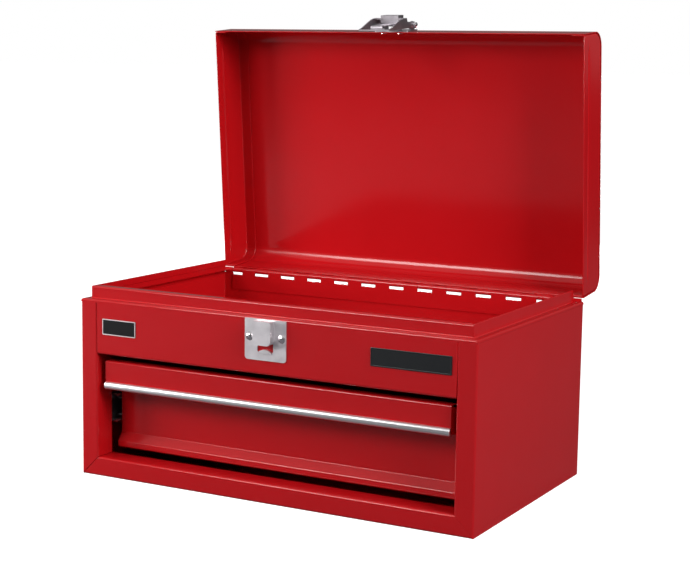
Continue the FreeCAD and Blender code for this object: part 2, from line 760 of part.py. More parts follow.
def latch_lever():
    """Stamped lever: two arched cheeks, a strip across the tip and a raised thumb box."""
    tip, thick = -lever_tip_drop, lever_tip_reach + lever_sheet
    rise, run = lever_crest_reach - thick, lever_crest_low - tip
    outline = [(tip, lever_tip_reach), (tip, thick)]
    outline += [(tip + a * run, thick + b * rise) for a, b in lever_arch_shares]
    outline += [(lever_crest_low, lever_crest_reach), (lever_crest_high, lever_crest_reach)]
    outline += [(lever_neck_height, lever_neck_reach)]
    outline += [(latch_pin_height, latch_pin_reach + lever_eye_radius)]
    outline += [(latch_pin_height, latch_pin_reach - lever_eye_radius)]
    outline += [(lever_neck_height, lever_tip_reach)]
    eye_y, eye_z = latch_point(latch_pin_height, latch_pin_reach)
    pieces = []
    for x in (-lever_half - lever_sheet, lever_half):
        cheek = prism([(x,) + latch_point(h, t) for h, t in outline], (lever_sheet, 0, 0))
        eye = Part.makeCylinder(lever_eye_radius, lever_sheet, Vector(x, eye_y, eye_z), Vector(1, 0, 0))
        pieces += [cheek, eye]
    half, mid = lever_half + lever_sheet / 2, lever_sheet / 2
    pieces.append(latch_block(-half, half, (tip, tip + lever_strip_length), (lever_tip_reach, thick)))
    line = [(lever_crest_low, lever_crest_reach - mid), (lever_crest_high, lever_crest_reach - mid)]
    line += [(lever_neck_height, lever_neck_reach - mid), (lever_web_end, lever_neck_reach - mid)]
    web = strip([latch_point(h, t) for h, t in line], lever_web_bend, lever_sheet, "yz", -half, 2 * half)
    inner = thumb_half - lever_sheet
    within = (thumb_low + lever_sheet, thumb_high + overrun)
    hollow = (lever_neck_reach, thumb_top_reach - lever_sheet)
    slot = latch_block(-inner, inner, (lever_crest_low - overrun, thumb_high), hollow)
    web = web.cut(slot)
    deep = (lever_neck_reach - mid, thumb_top_reach)
    hood = latch_block(-thumb_half, thumb_half, (thumb_low, thumb_high), deep)
    hood = hood.cut(latch_block(-inner, inner, within, (0, hollow[1])))
    tab = [(-thumb_half, thumb_top_reach), (-thumb_half, thumb_low_reach + thumb_corner)]
    tab += [(thumb_corner - thumb_half, thumb_low_reach), (thumb_half - thumb_corner, thumb_low_reach)]
    tab += [(thumb_half, thumb_low_reach + thumb_corner), (thumb_half, thumb_top_reach)]
    face = [(x,) + latch_point(thumb_low, t) for x, t in tab]
    pieces += [web, hood, prism(face, (0, 0, lever_sheet))]
    bore = latch_pin_radius + latch_pin_clearance
    return drilled(fuse(pieces), bore, [(0, eye_y, eye_z)], Vector(1, 0, 0), latch_plate_width)


def latch_hook():
    """Spring strip welded under the lever's web, with a lip that hooks under the keeper's box."""
    reach = lever_neck_reach - lever_sheet - hook_sheet / 2
    box_bottom = case_height - keeper_box_drop - keeper_box_height - rim
    low = box_bottom - hook_gap
    points = [latch_point(hook_foot_height, reach), latch_point(low, reach), latch_point(low, hook_lip_reach)]
    return strip(points, hook_bend, hook_sheet, "yz", -hook_width / 2, hook_width)


def latch_rivets():
    """Two rivets that hold the catch's plate to the lid."""
    face, z = latch_point(latch_rivet_height, latch_plate_sheet)
    size = (latch_rivet_radius, latch_rivet_dome, latch_plate_sheet + sheet)
    return Part.makeCompound([rivet(x, face, z, *size) for x in (-latch_rivet_half, latch_rivet_half)])


def handle_bracket():
    """Saddle bracket (right-hand side): a plate on the lid with a rolled eye for the bail's end."""
    x0 = handle_half_span - bracket_plate / 2
    y = (lid_front + lid_back) / 2
    hw = bracket_plate_width / 2
    plate = block(x0, x0 + bracket_plate, y - hw, y + hw, lid_top, lid_top + bracket_sheet)
    plate = rounded(plate, bracket_corner, Vector(0, 0, 1))
    axis = Vector(1, 0, 0)
    xs = handle_half_span - bracket_length / 2
    eye = handle_rod_radius + saddle_wall
    roll = Part.makeCylinder(eye, bracket_length, Vector(xs, y, lid_top + handle_lift), axis)
    cheek = block(xs, xs + bracket_length, y - eye, y + eye, lid_top, lid_top + handle_lift)
    bore = handle_rod_radius + handle_rod_clearance
    start = Vector(xs - overrun, y, lid_top + handle_lift)
    hole = Part.makeCylinder(bore, bracket_length + 2 * overrun, start, axis)
    return fuse([plate, roll, cheek]).cut(hole)


def handle_bail():
    """Round rod bent into a bail, folded flat towards the hinge."""
    y0, z = (lid_front + lid_back) / 2, lid_top + handle_lift
    end = handle_half_span + bracket_length / 2 - bail_end_inset
    leg = handle_half_span - bracket_length / 2 - bail_shoulder_gap - bail_bend
    y1 = y0 + bail_length
    knee = bail_bend * (1 - math.sqrt(2) / 2)
    edges = []
    for sign in (-1, 1):
        e = [Part.LineSegment(Vector(sign * end, y0, z), Vector(sign * (leg + bail_bend), y0, z))]
        a = Vector(sign * (leg + bail_bend), y0, z)
        c = Vector(sign * leg, y0 + bail_bend, z)
        e.append(Part.Arc(a, Vector(sign * (leg + knee), y0 + knee, z), c))
        d = Vector(sign * leg, y1 - bail_bend, z)
        e.append(Part.LineSegment(c, d))
        f = Vector(sign * (leg - bail_bend), y1, z)
        e.append(Part.Arc(d, Vector(sign * (leg - knee), y1 - knee, z), f))
        edges += [s.toShape() for s in e]
    low, high = Vector(bail_bend - leg, y1, z), Vector(leg - bail_bend, y1, z)
    edges.append(Part.LineSegment(low, high).toShape())
    path = Part.Wire(Part.__sortEdges__(edges))
    ring = Part.Wire(Part.makeCircle(handle_rod_radius, Vector(-end, y0, z), Vector(1, 0, 0)))
    return path.makePipeShell([ring], True, False)


def parts():
    """Every piece by its name, the lid's pieces already turned open."""
    z_rivet = case_height - rivet_drop
    rivet_holes = [(x, front, z_rivet) for x in (-rivet_spread, rivet_spread)]
    y_axis = Vector(0, 1, 0)
    deep = 2 * overrun
    shank = rivet_shank
    latch_holes = [(x, lid_front, rim + latch_rivet_height) for x in (-latch_rivet_half, latch_rivet_half)]
    left_x = -half_width + badge_left_inset
    right_x = half_width - badge_right_inset - badge_right_width
    made = {
        "case_wrap": case_wrap(),
        "front_fascia": drilled(front_fascia(), shank, rivet_holes, y_axis, deep),
        "base_pan": base_pan(),
        "top_tray": drilled(top_tray(), shank, [], y_axis, deep),
        "hinge_leaf_case": hinge_leaf(1, back - 2 * sheet, -1, knuckle_window),
        "hinge_pin": hinge_pin(),
        "latch_keeper_plate": drilled(keeper_plate(), shank, rivet_holes, y_axis, deep),
        "keeper_rivets": keeper_rivets(),
        "badge_left": badge(left_x, badge_left_width, badge_left_height, badge_left_drop),
        "badge_right": badge(right_x, badge_right_width, badge_right_height, badge_right_drop),
        "drawer_pan": drawer_pan(),
        "drawer_front": drawer_front(),
        "drawer_trim": drawer_trim(),
        "hinge_leaf_lid": opened(hinge_leaf(0, lid_back, 1, knuckle_clear)),
        "lid_wrap": opened(drilled(lid_wrap(), shank, latch_holes, y_axis, deep)),
        "lid_end_left": opened(mirrored(lid_end())),
        "lid_end_right": opened(lid_end()),
        "latch_plate": opened(drilled(latch_plate(), shank, latch_holes, y_axis, deep)),
        "latch_rivets": opened(latch_rivets()),
        "latch_pin": opened(latch_pin()),
        "latch_lever": opened(latch_lever()),
        "latch_hook": opened(latch_hook()),
        "handle_bracket_left": opened(mirrored(handle_bracket())),
        "handle_bracket_right": opened(handle_bracket()),
        "handle_bail": opened(handle_bail()),
    }
    pairs = {
        "runner_bracket": runner_bracket(),
        "runner_case": runner_case(),
        "runner_drawer": runner_drawer(),
        "ball_cage": ball_cage(),
        "runner_balls": runner_balls(),
    }
    for name, shape in pairs.items():
        made[name + "_right"] = shape
        made[name + "_left"] = mirrored(shape)
    return made


os.makedirs("parts", exist_ok=True)
for name, shape in parts().items():
    shape.exportStep("parts/" + name + ".step")
    print(name, len(shape.Solids), round(shape.Volume), shape.isValid())
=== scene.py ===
import math

import bmesh
import bpy
import numpy as np
from mathutils import Matrix, Vector


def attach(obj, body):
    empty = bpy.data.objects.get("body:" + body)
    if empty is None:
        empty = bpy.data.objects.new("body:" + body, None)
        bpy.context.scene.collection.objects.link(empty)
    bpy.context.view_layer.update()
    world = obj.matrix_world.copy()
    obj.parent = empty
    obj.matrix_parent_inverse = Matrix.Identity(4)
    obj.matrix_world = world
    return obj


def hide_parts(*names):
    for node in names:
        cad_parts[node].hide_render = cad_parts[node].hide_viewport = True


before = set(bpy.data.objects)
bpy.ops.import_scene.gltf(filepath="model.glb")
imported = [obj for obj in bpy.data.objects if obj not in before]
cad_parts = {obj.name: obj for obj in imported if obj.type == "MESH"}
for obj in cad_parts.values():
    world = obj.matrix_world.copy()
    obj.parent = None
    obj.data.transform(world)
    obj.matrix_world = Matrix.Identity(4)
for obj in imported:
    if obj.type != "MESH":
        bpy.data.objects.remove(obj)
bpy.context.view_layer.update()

# A portable steel tool box with one drawer, at rest with its lid open and its drawer shut. Lengths are
# in mm, z is up from the underside and the front is towards -Y; piece() turns mm into metres.


# ---- Case wrap -------------------------------------------------------------------------------------
# Both sides, the back and the two front stiles are bent from one 1 mm sheet of mild steel, and each
# side's top is folded in as a ledge, up as a lip and over as a hem. Spot-welded, then powder-coated.

half_width, front, back = 200.0, -121.5, 121.5
case_top, wall_top, lip_top = 166.0, 163.0, 177.4
sheet, bend, ledge = 1.0, 1.5, 7.0
opening_half, fascia_bottom, stile_return = 182.0, 115.5, 22.0
hinge_half, hinge_window_low = 188.5, 161.2
tab_inner, tab_outer, tab_sweep = 189.0, 198.0, 2.65
pin_y, pin_z = 122.0, 166.0
lip_back_end, hem_low = 111.5, 171.4
mitre_back = front + stile_return + sheet

# Cut edges of the sheets: radius, rows of points round it, and the first row of the flat beside it.
edge_round, edge_rows, row_gap = 0.25, 4, 0.4
# A flat's first place beside a bend: how far it stands off, the most of the flat that it may take up,
# and the distance below which there is none. Two places a `step` apart hold a jump in a sheet's height.
stand_off, stand_share, stand_least, step = 0.5, 0.3, 0.05, 0.01
# Edges between faces that meet at more than this angle stay sharp in the shading.
crease = math.radians(40)


def folded_line(corners, radius, near, fine):
    """Middle line of a folded sheet: straight runs between the corners, each corner an arc in `fine`
    parts. On an arc: place = centre + radius * (sin a, -cos a), a turning evenly from run to run; the
    normal is the heading turned left. A place stands a little off each end of an arc, so flats shade
    flat, and `near` gives the places beside both ends of the line."""
    corners = np.asarray(corners, float)
    run = np.diff(corners, axis=0)
    size = np.hypot(*run.T)
    run = run / size[:, None]
    angle = np.arctan2(run[:, 1], run[:, 0])
    radii = np.broadcast_to(radius, len(corners) - 2)
    turn = (np.diff(angle) + math.pi) % (2 * math.pi) - math.pi
    reach = radii * np.abs(np.tan(turn / 2))
    free = size - np.append(0, reach) - np.append(reach, 0)
    places = [corners[0] + run[0] * near[:, None]]
    headings = [np.full(len(near), angle[0])]
    for k in range(1, len(corners) - 1):
        if abs(turn[k - 1]) < 1e-6:
            places.append(corners[k:k + 1])
            headings.append(angle[k:k + 1])
            continue
        swept = angle[k - 1] + turn[k - 1] * np.linspace(0, 1, fine + 1)
        side = math.copysign(radii[k - 1], turn[k - 1])
        start = corners[k] - run[k - 1] * reach[k - 1]
        centre = start + side * np.array([-math.sin(angle[k - 1]), math.cos(angle[k - 1])])
        arc = centre - side * np.stack([-np.sin(swept), np.cos(swept)], 1)
        off = np.minimum(stand_off, stand_share * free[k - 1:k + 1])
        if off[0] > stand_least:
            places.append((start - run[k - 1] * off[0])[None])
            headings.append(angle[k - 1:k])
        places.append(arc)
        headings.append(swept)
        if off[1] > stand_least:
            places.append((arc[-1] + run[k] * off[1])[None])
            headings.append(angle[k:k + 1])
    places.append(corners[-1] - run[-1] * near[::-1, None])
    headings.append(np.full(len(near), angle[-1]))
    places, headings = np.concatenate(places), np.concatenate(headings)
    return places, np.stack([-np.sin(headings), np.cos(headings)], 1)


def loft(rings):
    """Closed surface over a stack of closed rings: quads from ring to ring, and at each end a ladder of
    quads from point k to point K-1-k of the ring."""
    count, size = rings.shape[:2]
    k = np.arange(size)
    base = (np.arange(count - 1) * size)[:, None]
    ahead = (k + 1) % size
    around = np.stack([base + k, base + ahead, base + size + ahead, base + size + k], -1)
    r = np.arange(size // 2 - 1)
    ladder = np.stack([r, size - 1 - r, size - 2 - r, r + 1], -1)
    last = (count - 1) * size + ladder[:, ::-1]
    return rings.reshape(-1, 3), np.concatenate([around.reshape(-1, 4), ladder, last])


def in_axis(across, up, along, axis):
    """Sheet coordinates to x, y, z: `along` goes to the named axis, the other two keep their order."""
    order = {"x": (along, across, up), "y": (across, along, up), "z": (across, up, along)}
    return np.stack(np.broadcast_arrays(*order[axis]), -1)


def folded_sheet(corners, radius, low, high, axis, fine=8, square=False):
    """Folded sheet as a surface of two parameters: u along its middle line, v across it from low to
    high. Point = place(u) +- normal(u) * h, with h half the thickness, less a quarter circle
    beside the edges: h = sheet/2 - r + sqrt(r^2 - (r - d)^2), r = edge_round, d the distance to the
    edge. A `square` sheet has no such rounding at its high end, where another sheet runs on from it."""
    turned = np.linspace(0, math.pi / 2, edge_rows)
    near = np.append(edge_round * (1 - np.cos(turned)), edge_round + row_gap)
    place, normal = folded_line(corners, radius, near, fine)
    step_size = np.hypot(*np.diff(place, axis=0).T)
    travel = np.append(0, np.cumsum(step_size))
    beside = np.minimum(travel, travel[-1] - travel)
    across = np.concatenate([near, near[::-1]])
    depth = across.copy()
    if square:
        depth[len(near):] = edge_round
    d = np.minimum(np.minimum(beside[None], depth[:, None]), edge_round)
    h = sheet / 2 - edge_round + np.sqrt(np.maximum(edge_round ** 2 - (edge_round - d) ** 2, 0))
    one = place[None] + normal[None] * h[..., None]
    two = place[None] - normal[None] * h[..., None]
    loop = np.concatenate([one, two[:, ::-1]], 1)
    start, end = low(loop[..., 0], loop[..., 1]), high(loop[..., 0], loop[..., 1])
    first = (np.arange(len(across)) < len(near))[:, None]
    along = np.where(first, start + across[:, None], end - across[:, None])
    return loft(in_axis(loop[..., 0], loop[..., 1], along, axis))


def level(value):
    """A sheet's end that is cut square: the same value at each place."""
    return lambda u, v: np.full(np.shape(u), float(value))


def mirrored(surface):
    """The same surface on the other side of the box."""
    points, faces = surface
    return points * (-1, 1, 1), faces[:, ::-1]


def piece(name, body, material, surfaces, nodes=()):
    """One object from surfaces of quads in mm. Each closed one is turned so that its faces point
    outwards: its signed volume, a sixth of the sum of a . (b x c) over its triangles, is positive."""
    points, faces, start = [], [], 0
    for p, f in surfaces:
        a, b, c, d = (p[f[:, k]] for k in range(4))
        volume = np.einsum("ij,ij->", a, np.cross(b, c)) + np.einsum("ij,ij->", a, np.cross(c, d))
        points.append(p)
        faces.append((f if volume > 0 else f[:, ::-1]) + start)
        start += len(p)
    mesh = bpy.data.meshes.new(name)
    rows = [row for block in faces for row in block.tolist()]
    mesh.from_pydata((np.concatenate(points) * 0.001).tolist(), [], rows)
    mesh.polygons.foreach_set("use_smooth", np.ones(len(mesh.polygons), bool))
    mesh.set_sharp_from_angle(angle=crease)
    mesh.materials.append(material)
    thing = bpy.data.objects.new(name, mesh)
    bpy.context.scene.collection.objects.link(thing)
    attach(thing, body)
    if nodes:
        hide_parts(*nodes)
    return thing


def linear(code):
    """Linear colour of an sRGB hex value: c/12.92 below 0.04045, else ((c + 0.055)/1.055)^2.4."""
    c = np.array([int(code[i:i + 2], 16) for i in (1, 3, 5)]) / 255
    return (*np.where(c <= 0.04045, c / 12.92, ((c + 0.055) / 1.055) ** 2.4), 1.0)


def add(tree, kind, inputs=None, **settings):
    """One node with its settings; an input takes a value, or the output of another node."""
    node = tree.nodes.new(kind)
    for key, value in settings.items():
        setattr(node, key, value)
    for key, value in (inputs or {}).items():
        if isinstance(value, bpy.types.NodeSocket):
            tree.links.new(value, node.inputs[key])
        else:
            node.inputs[key].default_value = value
    return node


def new_material(name):
    """Empty node material with its shader, its object coordinates and its tree."""
    material = bpy.data.materials.new(name)
    material.use_nodes = True
    tree = material.node_tree
    shader = tree.nodes["Principled BSDF"]
    return material, tree, shader, add(tree, "ShaderNodeTexCoord").outputs["Object"]


# Gloss polyester powder coat, sprayed and baked: a deep even red under a clear gloss, with the fine
# orange peel of melted powder (about 2.5 mm) and the slow waves of thin sheet (about 90 mm).
red_paint, tree, shader, here = new_material("red_powder_coat")
tint = add(tree, "ShaderNodeTexNoise", {"Vector": here, "Scale": 1 / 0.035, "Detail": 4.0})
shade = add(tree, "ShaderNodeMix", {"Factor": tint.outputs["Fac"]}, data_type="RGBA")
shade.inputs["A"].default_value = linear("#b81116")
shade.inputs["B"].default_value = linear("#be131a")
haze = add(tree, "ShaderNodeTexNoise", {"Vector": here, "Scale": 1 / 0.012, "Detail": 3.0})
gloss = add(tree, "ShaderNodeMapRange", {"Value": haze.outputs["Fac"], "To Min": 0.12, "To Max": 0.18})
wave = add(tree, "ShaderNodeTexNoise", {"Vector": here, "Scale": 1 / 0.09, "Detail": 1.0})
peel = add(tree, "ShaderNodeTexNoise", {"Vector": here, "Scale": 1 / 0.0025, "Detail": 2.0})
slow = add(tree, "ShaderNodeBump", {"Height": wave.outputs["Fac"], "Distance": 0.00008, "Strength": 1.0})
skin = add(tree, "ShaderNodeBump", {"Height": peel.outputs["Fac"], "Distance": 0.000006, "Strength": 1.0,
                                    "Normal": slow.outputs["Normal"]})
tree.links.new(shade.outputs["Result"], shader.inputs["Base Color"])
tree.links.new(gloss.outputs["Result"], shader.inputs["Roughness"])
tree.links.new(skin.outputs["Normal"], shader.inputs["Normal"])


def wall_low(x, y):
    """Bottom of the wrap: flat, but mitred at 45 degrees over the front rail: z = half width - |x|."""
    mitred = (y < mitre_back) & (np.abs(x) < half_width - sheet)
    return np.where(mitred, half_width - np.abs(x), 0.0)


def wall_high(x, y):
    """Top of the wrap: the stiles' returns stop under the fascia, the back is cut down for the hinge
    and its corners stand up beside it, slanted to clear the lid: (y - pin y)^2 + (z - pin z)^2 = r^2."""
    inside = (np.abs(x) < half_width - sheet - bend) & (y > front + sheet) & (y < 0)
    hinge = (np.abs(x) < hinge_half) & (y > 0)
    tab = (np.abs(x) > tab_inner) & (np.abs(x) < tab_outer) & (y > 0)
    crest = pin_z + np.sqrt(np.maximum(tab_sweep ** 2 - (pin_y - y) ** 2, 0))
    return np.select([inside, hinge, tab], [fascia_bottom, hinge_window_low, crest], wall_top)


# The wrap in plan, from the left stile's return round to the right one's. Where the top edge changes
# its height along the back, `steps` puts two places, a `step` to either side. At its top the wrap runs
# on into the sides' folded tops.
x_in, x_out = opening_half + sheet / 2, half_width - sheet / 2
y_front, y_back = front + sheet / 2, back - sheet / 2
steps = [(side + way, y_back) for side in (-tab_outer, -tab_inner, -hinge_half) for way in (-step, step)]
half_line = [(-x_in, front + stile_return), (-x_in, y_front), (-x_out, y_front), (-x_out, y_back)] + steps
wall_line = half_line + [(-x, y) for x, y in reversed(half_line)]
half_bends = [bend, bend, bend] + [step] * len(steps)
walls = folded_sheet(wall_line, half_bends + half_bends[::-1], wall_low, wall_high, "z", square=True)


def side_low(x, z):
    """Front end of a side's ledge and lip, mitred at 45 degrees: y = front + half width - |x|."""
    return front + half_width - np.abs(x)


def side_high(x, z):
    """Back end of the ledge at the back wall; the lip above it stops short of the open lid."""
    lip = (z > case_top) & (np.abs(x) < half_width - ledge + bend)
    return np.where(lip, lip_back_end, back)


lip_x, crown = half_width - ledge - sheet / 2, lip_top - sheet / 2
side_line = [(x_out, wall_top), (x_out, case_top - sheet / 2), (lip_x, case_top - sheet / 2),
             (lip_x, crown), (lip_x - sheet, crown), (lip_x - sheet, hem_low)]
side_top = folded_sheet(side_line, [bend, bend, sheet / 2, sheet / 2], side_low, side_high, "y")
piece("case_wrap_sheet", "case", red_paint, [walls, side_top, mirrored(side_top)], ["case_wrap"])


# ---- Base pan --------------------------------------------------------------------------------------
# The bottom of the case, one sheet that turns up inside the back wall and, at the front, up and back
# as the rail under the drawer. Its ends are mitred to the stiles: the right seam is filled by the
# paint, the left one stands open by a hair and shows as a fine dark line.

rail_level, pan_half, pan_back, flange, seam = 17.5, 198.9, 119.9, 15.0, 0.6
wing_front, wing_back = front + 27.0, pan_back - 0.5


def rail_half(y, z):
    """Half length of the pan: full inside the walls, and along the 45 degree mitre at the front."""
    mitre = np.minimum(pan_half, half_width - z)
    return np.where(y < mitre_back, mitre, pan_half)


pan_line = [(front + stile_return, rail_level), (y_front, rail_level), (y_front, sheet / 2),
            (pan_back, sheet / 2), (pan_back, flange)]
pan = folded_sheet(pan_line, bend, lambda y, z: seam - rail_half(y, z), rail_half, "x")
wing_x = pan_half - sheet / 2
wing = folded_sheet([(wing_x, sheet), (wing_x, flange)], bend, level(wing_front), level(wing_back), "y")
piece("base_pan_sheet", "case", red_paint, [pan, wing, mirrored(wing)], ["base_pan"])


# ---- Front fascia ----------------------------------------------------------------------------------
# The panel over the drawer: its foot is bent back over the opening, its top runs back as the front
# ledge, up as the lip and in along the lip's top, with mitred ends that meet the sides' lips.

fascia_half, fascia_return, lip_return = 181.9, 12.0, 15.0


def fascia_end(y, z):
    """Half length of the fascia: between the stiles, and above them out to the 45 degree mitre."""
    return np.where(z < wall_top, fascia_half, half_width - (y - front))


y_lip = front + ledge + sheet / 2
fascia_line = [(front + fascia_return, fascia_bottom + sheet / 2), (y_front, fascia_bottom + sheet / 2),
               (y_front, wall_top - step), (y_front, wall_top + step), (y_front, case_top - sheet / 2),
               (y_lip, case_top - sheet / 2), (y_lip, crown), (front + lip_return, crown)]
fascia_bends = [bend, step, step, bend, bend, bend]
fascia = folded_sheet(fascia_line, fascia_bends, lambda y, z: -fascia_end(y, z), fascia_end, "x")
piece("front_fascia_sheet", "case", red_paint, [fascia], ["front_fascia"])


# ---- Drawer front ----------------------------------------------------------------------------------
# One folded sheet: a band along the top, a full-width finger recess under it and a sloped toe at the
# bottom. Two flat cheeks close the band's ends and carry it to the drawer's sides.

drawer_half, face_inset = 176.0, 2.5
drawer_line = [(-107.5, 108.5), (-116.5, 108.5), (-116.5, 84.5), (-91.5, 80.0), (-91.5, 37.0),
               (-97.5, 29.1), (-97.5, 23.9), (-85.5, 23.9)]


def slab(loop, low, high, axis, edge=edge_round):
    """Flat plate with the outline `loop`: rings of the outline, drawn in by edge * (1 - sin a) while
    the height goes by edge * (1 - cos a), a quarter circle along each face's rim. One more ring lies
    `face_inset` edges in on each face, so that the face shades flat."""
    loop = np.asarray(loop, float)
    before, after = loop - np.roll(loop, 1, 0), np.roll(loop, -1, 0) - loop
    before /= np.hypot(*before.T)[:, None]
    after /= np.hypot(*after.T)[:, None]
    area = np.sum(loop[:, 0] * np.roll(loop[:, 1], -1) - loop[:, 1] * np.roll(loop[:, 0], -1))
    inward = np.stack([-(before + after)[:, 1], (before + after)[:, 0]], 1) * math.copysign(1, area)
    inward /= (1 + np.sum(before * after, 1))[:, None]
    a = np.linspace(0, math.pi / 2, edge_rows)
    inset = np.append(edge * face_inset, edge * (1 - np.sin(a)))
    rise = np.append(0, edge * (1 - np.cos(a)))
    inset, height = np.append(inset, inset[::-1]), np.append(low + rise, high - rise[::-1])
    rings = loop[None] + inward[None] * inset[:, None, None]
    return loft(in_axis(rings[..., 0], rings[..., 1], height[:, None], axis))


cheek_loop = [(-116.5, 84.5), (-91.0, 80.0), (-91.0, 98.0), (-116.5, 108.5)]
cheek = slab(cheek_loop, drawer_half - sheet, drawer_half, "x")
drawer_face = folded_sheet(drawer_line, bend, level(-drawer_half), level(drawer_half), "x")
piece("drawer_front_sheet", "drawer", red_paint, [drawer_face, cheek, mirrored(cheek)], ["drawer_front"])


# ---- Drawer trim -----------------------------------------------------------------------------------
# A half-round strip of drawn aluminium, polished and clear anodised, pressed onto the band's lower
# edge. It is the brightest line of the box: white above, where it faces the lamps, grey below.

trim_half, trim_front, trim_low, trim_high, trim_round, trim_edge = 175.6, -120.0, 82.5, 89.5, 3.0, 0.4
nose_rows = 13
# Outline in y and z: two quarter rounds, one above the other, joined by straight lines.
q = np.linspace(0, math.pi / 2, nose_rows)
nose_y, nose_z = trim_round * (1 - np.sin(q)), trim_round * (1 - np.cos(q))
trim_loop = np.concatenate([np.stack([trim_front + nose_y, trim_low + nose_z], 1),
                            np.stack([trim_front + nose_y, trim_high - nose_z], 1)[::-1]])

trim_metal, tree, shader, here = new_material("polished_anodised_aluminium")
shader.inputs["Metallic"].default_value = 1.0
drawn = add(tree, "ShaderNodeMapping", {"Vector": here, "Scale": (8.0, 900.0, 900.0)})
lines = add(tree, "ShaderNodeTexNoise", {"Vector": drawn.outputs["Vector"], "Scale": 1.0, "Detail": 2.0})
tone = add(tree, "ShaderNodeMix", {"Factor": lines.outputs["Fac"]}, data_type="RGBA")
tone.inputs["A"].default_value = linear("#e6e2e4")
tone.inputs["B"].default_value = linear("#f4f2f3")
matt = add(tree, "ShaderNodeMapRange", {"Value": lines.outputs["Fac"], "To Min": 0.34, "To Max": 0.44})
score = add(tree, "ShaderNodeBump", {"Height": lines.outputs["Fac"], "Distance": 0.000001,
                                     "Strength": 1.0})
tree.links.new(tone.outputs["Result"], shader.inputs["Base Color"])
tree.links.new(matt.outputs["Result"], shader.inputs["Roughness"])
tree.links.new(score.outputs["Normal"], shader.inputs["Normal"])

piece("drawer_trim_bar", "drawer", trim_metal, [slab(trim_loop, -trim_half, trim_half, "x", trim_edge)],
      ["drawer_trim"])


# ---- Lid wrap --------------------------------------------------------------------------------------
# Front, top and back of the lid, one sheet rolled over two wide bends. It is worked out as it lies on
# the closed box and then turned back about the hinge pin, to where the lid rests open.

lid_half, rim, lid_front, lid_back, lid_top, lid_bend = 199.5, 166.3, -126.5, 119.2, 210.3, 15.0
lid_turn, lid_bend_parts = math.radians(85.2), 28


def opened(surface):
    """Turns a surface of the closed lid about the hinge pin (along x) by the opening angle."""
    points, faces = surface
    a, b = points[:, 1] - pin_y, points[:, 2] - pin_z
    c, s = math.cos(lid_turn), math.sin(lid_turn)
    return np.stack([points[:, 0], pin_y + a * c + b * s, pin_z - a * s + b * c], 1), faces


h = sheet / 2
lid_line = [(lid_front + h, rim), (lid_front + h, lid_top - h), (lid_back - h, lid_top - h),
            (lid_back - h, rim)]
lid_sheet = folded_sheet(lid_line, lid_bend - h, level(-lid_half), level(lid_half), "x",
                         fine=lid_bend_parts)
piece("lid_wrap_sheet", "lid", red_paint, [opened(lid_sheet)], ["lid_wrap"])


# ---- Lid ends --------------------------------------------------------------------------------------
# Two pressed end caps, each a plate with a flange all round that is spot-welded inside the wrap. A
# rounded bead is pressed into the plate near the rim, to stiffen the free edge.

flange_end, plate_x, cap_inset, bead_z, bead_high, bead_wide = 187.2, 198.7, 1.6, 176.8, 1.2, 1.7
bead_front, bead_back, bead_fade, bead_reach = -108.0, 100.0, 3.0, 1.8
fillet_rows, bead_rows, bend_rows, plate_rows = 15, 13, 7, 33


def lid_cap():
    """Middle surface of an end cap as two grids that share an edge. The rim grid goes along the
    outline (u) and from the flange round its bend to the plate (v): point = outline - normal *
    inset(v), x = x(v). The plate grid is straight across between the two sides of the outline,
    and dips by bead_high * (1 + cos(pi s))/2 across the bead, s = distance / bead_wide."""
    r = lid_bend - cap_inset
    y0, y1, top = lid_front + cap_inset, lid_back - cap_inset, lid_top - cap_inset
    # Rows up from the rim: close together at both ends and across the bead.
    bead = bead_z - rim + np.linspace(-bead_reach, bead_reach, bead_rows)
    rise = np.concatenate([[0, 0.6, 4], bead, [20, top - r - rim - 0.5]])
    a = np.linspace(0, math.pi / 2, fillet_rows)
    z = np.concatenate([rim + rise, top - r + r * np.sin(a)])
    y = np.concatenate([np.full(len(rise), y0), y0 + r - r * np.cos(a)])
    n = np.concatenate([np.tile([-1.0, 0.0], (len(rise), 1)), np.stack([-np.cos(a), np.sin(a)], 1)])
    # Places across the plate, as a share of its width: closest together beside the flanges.
    share = np.concatenate([[0, 0.004], np.linspace(0.02, 0.98, plate_rows), [0.996, 1]])
    over = y[-1] + (y0 + y1 - 2 * y[-1]) * share[1:-1]
    outline = np.concatenate([np.stack([y, z], 1), np.stack([over, np.full(len(over), top)], 1),
                              np.stack([y0 + y1 - y, z], 1)[::-1]])
    normal = np.concatenate([n, np.tile([0.0, 1.0], (len(over), 1)), (n * (-1, 1))[::-1]])
    b = np.linspace(0, math.pi / 2, bend_rows)
    inset = np.concatenate([[0, 0, 0, 0], bend * (1 - np.cos(b))[1:]])
    x = np.concatenate([[flange_end, flange_end + row_gap, plate_x - bend - row_gap, plate_x - bend],
                        plate_x - bend + bend * np.sin(b)[1:]])
    place = outline[:, None] - normal[:, None] * inset[None, :, None]
    ring = np.stack([np.broadcast_to(x, place.shape[:2]), place[..., 0], place[..., 1]], -1)
    left, right = ring[:len(z), -1], ring[::-1][:len(z), -1]
    plate = left[:, None] + (right - left)[:, None] * share[None, :, None]
    away = np.clip(np.abs(plate[..., 2] - bead_z) / bead_wide, 0, 1)
    fade = np.clip(np.minimum(plate[..., 1] - bead_front, bead_back - plate[..., 1]) / bead_fade, 0, 1)
    plate[..., 0] -= bead_high * (1 + np.cos(math.pi * away)) / 2 * fade
    points, faces, start = [], [], 0
    for grid in (ring, plate):
        rows, cols = grid.shape[:2]
        i = (np.arange(rows - 1)[:, None] * cols + np.arange(cols - 1)).ravel() + start
        faces.append(np.stack([i, i + 1, i + cols + 1, i + cols], 1) if start == 0
                     else np.stack([i, i + cols, i + cols + 1, i + 1], 1))
        points.append(grid.reshape(-1, 3))
        start += rows * cols
    return np.concatenate(points), np.concatenate(faces)


